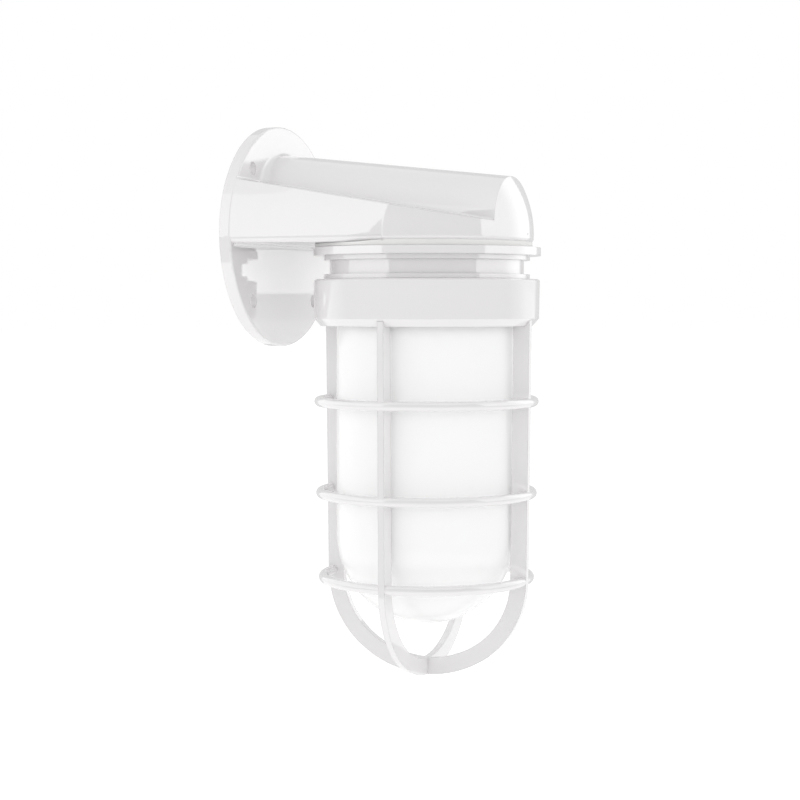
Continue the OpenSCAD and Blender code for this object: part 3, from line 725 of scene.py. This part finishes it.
def roundPoint(radius, turn, z):
    # Point at a radius in mm from the lamp's upright line
    return lampCentre + Vector((radius * math.cos(turn), radius * math.sin(turn), z)) * mm


def shellFaces(base, rows, columns, faces):
    # Outer and inner skin of a round shell, and the rims that join them at both ends
    layer = (rows + 1) * columns
    for i in range(rows):
        for k in range(columns):
            a = base + i * columns + k
            b = base + i * columns + (k + 1) % columns
            faces.append((a, b, b + columns, a + columns))
            faces.append((layer + b, layer + a, layer + a + columns, layer + b + columns))
    for row in (0, rows):
        for k in range(columns):
            a = base + row * columns + k
            b = base + row * columns + (k + 1) % columns
            faces.append((a, layer + a, layer + b, b))


def threadedShell(name, body, finishName, values, replaced):
    # Thin round shell with a rolled thread, from its top to its bottom
    columns = roundColumns
    high, low = values["top"], values["bottom"]
    rows = int((high - low) / values["pitch"] * threadRows)
    verts, faces = [], []
    for inside in (False, True):
        for i in range(rows + 1):
            z = high + (low - high) * i / rows
            fade = max(0.0, min(1.0, min(high - z, z - low) / values["fade"]))
            for k in range(columns):
                turn = 2 * math.pi * k / columns
                wave = 0.5 - 0.5 * math.cos(2 * math.pi * (high - z) / values["pitch"] + turn)
                radius = values["radius"] - values["depth"] * wave * fade
                if inside:
                    radius -= values["wall"]
                verts.append(roundPoint(radius, turn, z))
    shellFaces(0, rows, columns, faces)
    if "floorHole" in values:
        outer = values["radius"] - values["wall"]
        flatRing(values["floorHole"], outer, values["top"], values["wall"], verts, faces)
    piece = addPiece(name, verts, faces, body, finishName)
    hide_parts(replaced)
    return piece


def ringFaces(start, columns, faces):
    # Skin of a ring whose verts come in fours, one four for each column
    for k in range(columns):
        a, b = start + 4 * k, start + 4 * ((k + 1) % columns)
        for i in range(4):
            faces.append((a + i, a + (i + 1) % 4, b + (i + 1) % 4, b + i))


def flatRing(inner, outer, top, thick, verts, faces):
    # Washer about the lamp's upright line
    start = len(verts)
    for k in range(roundColumns):
        turn = 2 * math.pi * k / roundColumns
        for radius, z in ((inner, top), (outer, top), (outer, top - thick), (inner, top - thick)):
            verts.append(roundPoint(radius, turn, z))
    ringFaces(start, roundColumns, faces)


def makeJarThread():
    values = jarThread
    turns = (values["top"] - values["bottom"]) / values["pitch"]
    count = int(turns * beadSteps)
    path = []
    for i in range(count + 1):
        turn = 2 * math.pi * turns * i / count
        z = values["top"] + (values["bottom"] - values["top"]) * i / count
        path.append(roundPoint(values["radius"], turn, z))
    verts, faces = [], []
    sweepTube(path, values["bead"] * mm, 10, verts, faces)
    return addPiece("jarThread", verts, faces, "jar", "opalGlass")


makeJarThread()
threadedShell("bulbShell", "bulb", "platedSteel", bulbThread, "bulb_base")
threadedShell("holderShell", "fixture", "stampedBrass", shellThread, "screw_shell")
print("threads ready")


# Leads inside the arm

leadSides = 20           # faces round a lead's insulation
leads = {
    "lead": 1.4,                 # radius of the insulation
    "side": 6.0,                 # from the middle of the light
    "foot": (-93.5, -3.0), "runHeight": 13.0, "bend": 8.0,
    "insulationEnd": -23.0, "copperEnd": -14.0, "terminalY": -98.9,
    "footLift": 0.8,             # copper above the insulation's lower end
    "hidden": 1.0,               # copper inside the insulation's other end
    "strand": 0.26,              # radius of one wire
    "lay": 1.96,                 # outer wires' distance from the middle one, in its radii
    "twist": 14.0,               # length of one turn of the wires
}


def strandBundle(path, verts, faces):
    # Six thin wires twisted round a seventh
    strand = leads["strand"] * mm
    sweepTube(path, strand, 8, verts, faces)
    along = (path[-1] - path[0]).normalized()
    normal = along.orthogonal().normalized()
    across = along.cross(normal)
    for k in range(6):
        twisted = []
        for point in path:
            turn = 2 * math.pi * (k / 6 + (point - path[0]).length / (leads["twist"] * mm))
            outward = normal * math.cos(turn) + across * math.sin(turn)
            twisted.append(point + outward * strand * leads["lay"])
        sweepTube(twisted, strand, 8, verts, faces)


def straightPath(start, end, count):
    return [start.lerp(end, i / count) for i in range(count + 1)]


def makeLead(name, side, finishName, replaced):
    x = side * leads["side"]
    footY, footZ = leads["foot"]
    corners = [Vector((x, footY, footZ)), Vector((x, footY, leads["runHeight"])),
               Vector((x, leads["insulationEnd"], leads["runHeight"]))]
    path = bentPath([corner * mm for corner in corners], leads["bend"] * mm)
    verts, faces = [], []
    sweepTube(path, leads["lead"] * mm, leadSides, verts, faces)
    cover = addPiece(name + "Cover", verts, faces, "fixture", finishName)
    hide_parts(replaced)
    verts, faces = [], []
    wireEnd = Vector((x, leads["copperEnd"], leads["runHeight"])) * mm
    wireStart = corners[-1] * mm - Vector((0, leads["hidden"] * mm, 0))
    strandBundle(straightPath(wireStart, wireEnd, 20), verts, faces)
    copperZ = footZ + leads["footLift"]
    atTerminal = Vector((x, leads["terminalY"], copperZ)) * mm
    strandBundle(straightPath(Vector((x, footY, copperZ)) * mm, atTerminal, 10), verts, faces)
    addPiece(name + "Copper", verts, faces, "fixture", "bareCopper")


# Ground lead with a crimped ring terminal under the green screw

groundLead = {
    "eye": (22.0, -46.0, 4.7), "eyeRadius": 5.0, "holeRadius": 2.13, "plate": 0.9,
    "tongue": 4.6,               # the eye is cut off here, on the lead's side
    "barrel": (-41.2, -35.6), "barrelRadius": 1.75, "barrelWall": 0.35,
    "barrelRise": 1.76,          # the barrel's middle above the eye's underside
    "crimp": {"at": 0.5, "spread": 0.16, "wider": 0.12, "flatter": 0.22},
    "bare": 0.6,                 # copper past the barrel's outer end and inside the insulation
    "gap": 0.2,                  # between the barrel and the insulation
}


def makeRingTerminal():
    values = groundLead
    x, y, z = values["eye"]
    verts, faces = [], []
    columns = 48
    for k in range(columns):
        turn = 2 * math.pi * k / columns
        outX = values["eyeRadius"] * math.cos(turn)
        outY = min(values["eyeRadius"] * math.sin(turn), values["tongue"])
        inX = values["holeRadius"] * math.cos(turn)
        inY = values["holeRadius"] * math.sin(turn)
        for px, py, pz in ((outX, outY, 0.0), (outX, outY, values["plate"]),
                           (inX, inY, values["plate"]), (inX, inY, 0.0)):
            verts.append(Vector((x + px, y + py, z + pz)) * mm)
    ringFaces(0, columns, faces)
    # barrel, pinched in the middle where it was crimped
    start, end = values["barrel"]
    crimp = values["crimp"]
    rings, columns = 14, 24
    base = len(verts)
    for inside in (0, 1):
        radius = values["barrelRadius"] - inside * values["barrelWall"]
        for i in range(rings + 1):
            t = i / rings
            pinch = math.exp(-((t - crimp["at"]) / crimp["spread"]) ** 2)
            for k in range(columns):
                turn = 2 * math.pi * k / columns
                px = radius * math.cos(turn) * (1 + crimp["wider"] * pinch)
                pz = radius * math.sin(turn) * (1 - crimp["flatter"] * pinch)
                height = z + values["barrelRise"] + pz
                verts.append(Vector((x + px, start + (end - start) * t, height)) * mm)
    shellFaces(base, rings, columns, faces)
    return addPiece("groundTerminal", verts, faces, "fixture", "platedSteel")


def makeGroundLead():
    values = groundLead
    x, _, z = values["eye"]
    z += values["barrelRise"]
    barrelStart, barrelEnd = values["barrel"]
    coverStart = Vector((x, barrelEnd + values["gap"], z)) * mm
    coverEnd = Vector((x, leads["insulationEnd"], z)) * mm
    verts, faces = [], []
    sweepTube(straightPath(coverStart, coverEnd, 12), leads["lead"] * mm, leadSides, verts, faces)
    cover = addPiece("groundLeadCover", verts, faces, "fixture", "greenInsulation")
    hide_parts("ground_lead")
    verts, faces = [], []
    wireEnd = Vector((x, leads["copperEnd"], z)) * mm
    wireStart = coverEnd - Vector((0, leads["hidden"] * mm, 0))
    strandBundle(straightPath(wireStart, wireEnd, 20), verts, faces)
    inBarrel = Vector((x, barrelStart - values["bare"], z)) * mm
    inCover = coverStart + Vector((0, values["bare"] * mm, 0))
    strandBundle(straightPath(inBarrel, inCover, 12), verts, faces)
    addPiece("groundLeadCopper", verts, faces, "fixture", "bareCopper")


makeLead("lineLead", -1, "blackInsulation", "line_lead")
makeLead("neutralLead", 1, "whiteInsulation", "neutral_lead")
makeRingTerminal()
makeGroundLead()
print("leads ready")
